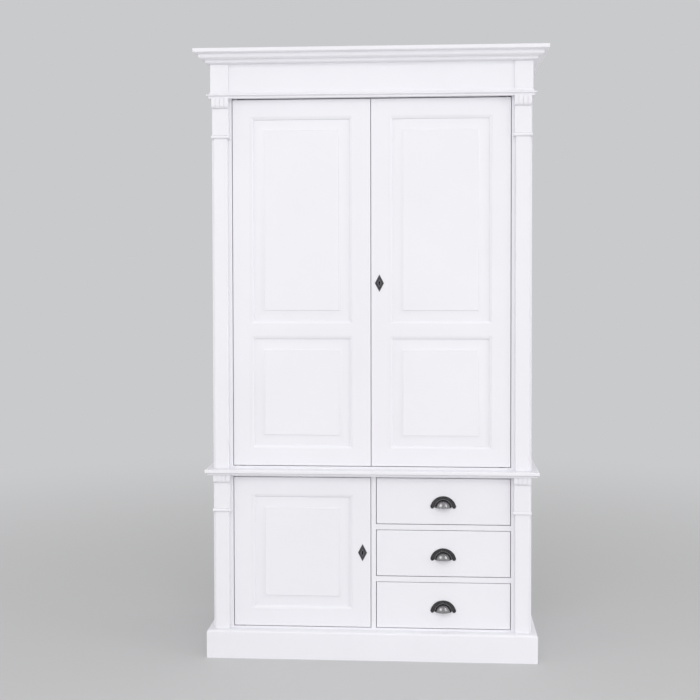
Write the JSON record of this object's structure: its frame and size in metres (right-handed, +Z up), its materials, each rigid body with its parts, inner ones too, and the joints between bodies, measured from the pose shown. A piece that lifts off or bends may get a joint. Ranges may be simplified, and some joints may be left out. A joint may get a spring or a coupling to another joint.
{
  "type": "wardrobe",
  "caption": "Tall painted country wardrobe: panelled double doors over a lower cabinet with a door and drawers, framed by pilasters, a plinth and a stepped cornice.",
  "frame": {"origin": "on the floor, under the middle of the wardrobe's overall box", "axes": "+Z up, the front faces -Y, +X to the right as seen from the front"},
  "size_m": [1.173, 0.6176, 2.043],
  "materials": {
    "white_paint": "smooth satin white paint over wood",
    "inner_paint": "thinner matt white paint on inner boards",
    "dark_metal": "dark antique gunmetal, worn bright on the highest edges",
    "steel": "plain zinc-plated steel",
    "brass": "plain drawn brass"
  },
  "bodies": {
    "carcass": {"plinth": "white_paint", "base_board": "white_paint", "lower_sides": "white_paint", "lower_partition": "white_paint", "lower_face_frame": "white_paint", "drawer_rails": "white_paint", "drawer_runners": "inner_paint", "waist_board": "white_paint", "lower_shelf": "inner_paint", "shelf_pegs": "steel", "upper_sides": "white_paint", "upper_floor": "inner_paint", "upper_partition": "inner_paint", "upper_face_frame": "white_paint", "back_panels": "inner_paint", "head_board": "white_paint", "upper_shelves": "inner_paint", "hanging_rail": "steel", "rail_sockets": "steel", "frieze_boards": "white_paint", "frieze_blocks": "white_paint", "cornice": "white_paint", "crown_lid": "inner_paint", "pilasters": "white_paint", "capitals": "white_paint", "pilaster_bands": "white_paint", "pivot_plates": "steel", "door_catch": "steel"},
    "left_door": {"left_door_stiles": "white_paint", "left_door_rails": "white_paint", "left_door_panels": "white_paint", "left_door_bushes": "brass", "catch_plate": "steel"},
    "right_door": {"right_door_stiles": "white_paint", "right_door_rails": "white_paint", "right_door_panels": "white_paint", "right_door_bushes": "brass", "upper_escutcheon": "dark_metal", "upper_lock_case": "steel"},
    "lower_door": {"lower_door_stiles": "white_paint", "lower_door_rails": "white_paint", "lower_door_panel": "white_paint", "lower_door_bushes": "brass", "lower_escutcheon": "dark_metal", "lower_lock_case": "steel"},
    "upper_bolt": {"upper_bolt": "brass"},
    "lower_bolt": {"lower_bolt": "brass"},
    "drawer_1": {"drawer_1_front": "white_paint", "drawer_1_sides": "inner_paint", "drawer_1_bottom": "inner_paint", "drawer_1_pull": "dark_metal"},
    "drawer_2": {"drawer_2_front": "white_paint", "drawer_2_sides": "inner_paint", "drawer_2_bottom": "inner_paint", "drawer_2_pull": "dark_metal"},
    "drawer_3": {"drawer_3_front": "white_paint", "drawer_3_sides": "inner_paint", "drawer_3_bottom": "inner_paint", "drawer_3_pull": "dark_metal"}
  },
  "joints": [
    {"name": "left_door_swing", "type": "hinge", "parent": "carcass", "child": "left_door", "pos_m": [-0.4535, -0.23425, 0.649], "axis": [0, 0, -1], "range_deg": [0, 105]},
    {"name": "right_door_swing", "type": "hinge", "parent": "carcass", "child": "right_door", "pos_m": [0.4535, -0.23425, 0.649], "axis": [0, 0, 1], "range_deg": [0, 105]},
    {"name": "lower_door_swing", "type": "hinge", "parent": "carcass", "child": "lower_door", "pos_m": [-0.4535, -0.23425, 0.103], "axis": [0, 0, -1], "range_deg": [0, 105]},
    {"name": "drawer_1_slide", "type": "slide", "parent": "carcass", "child": "drawer_1", "axis": [0, -1, 0], "range_m": [0, 0.35]},
    {"name": "drawer_2_slide", "type": "slide", "parent": "carcass", "child": "drawer_2", "axis": [0, -1, 0], "range_m": [0, 0.35]},
    {"name": "drawer_3_slide", "type": "slide", "parent": "carcass", "child": "drawer_3", "axis": [0, -1, 0], "range_m": [0, 0.35]},
    {"name": "upper_bolt_slide", "type": "slide", "parent": "right_door", "child": "upper_bolt", "axis": [-1, 0, 0], "range_m": [0, 0.01]},
    {"name": "lower_bolt_slide", "type": "slide", "parent": "lower_door", "child": "lower_bolt", "axis": [1, 0, 0], "range_m": [0, 0.01]}
  ]
}
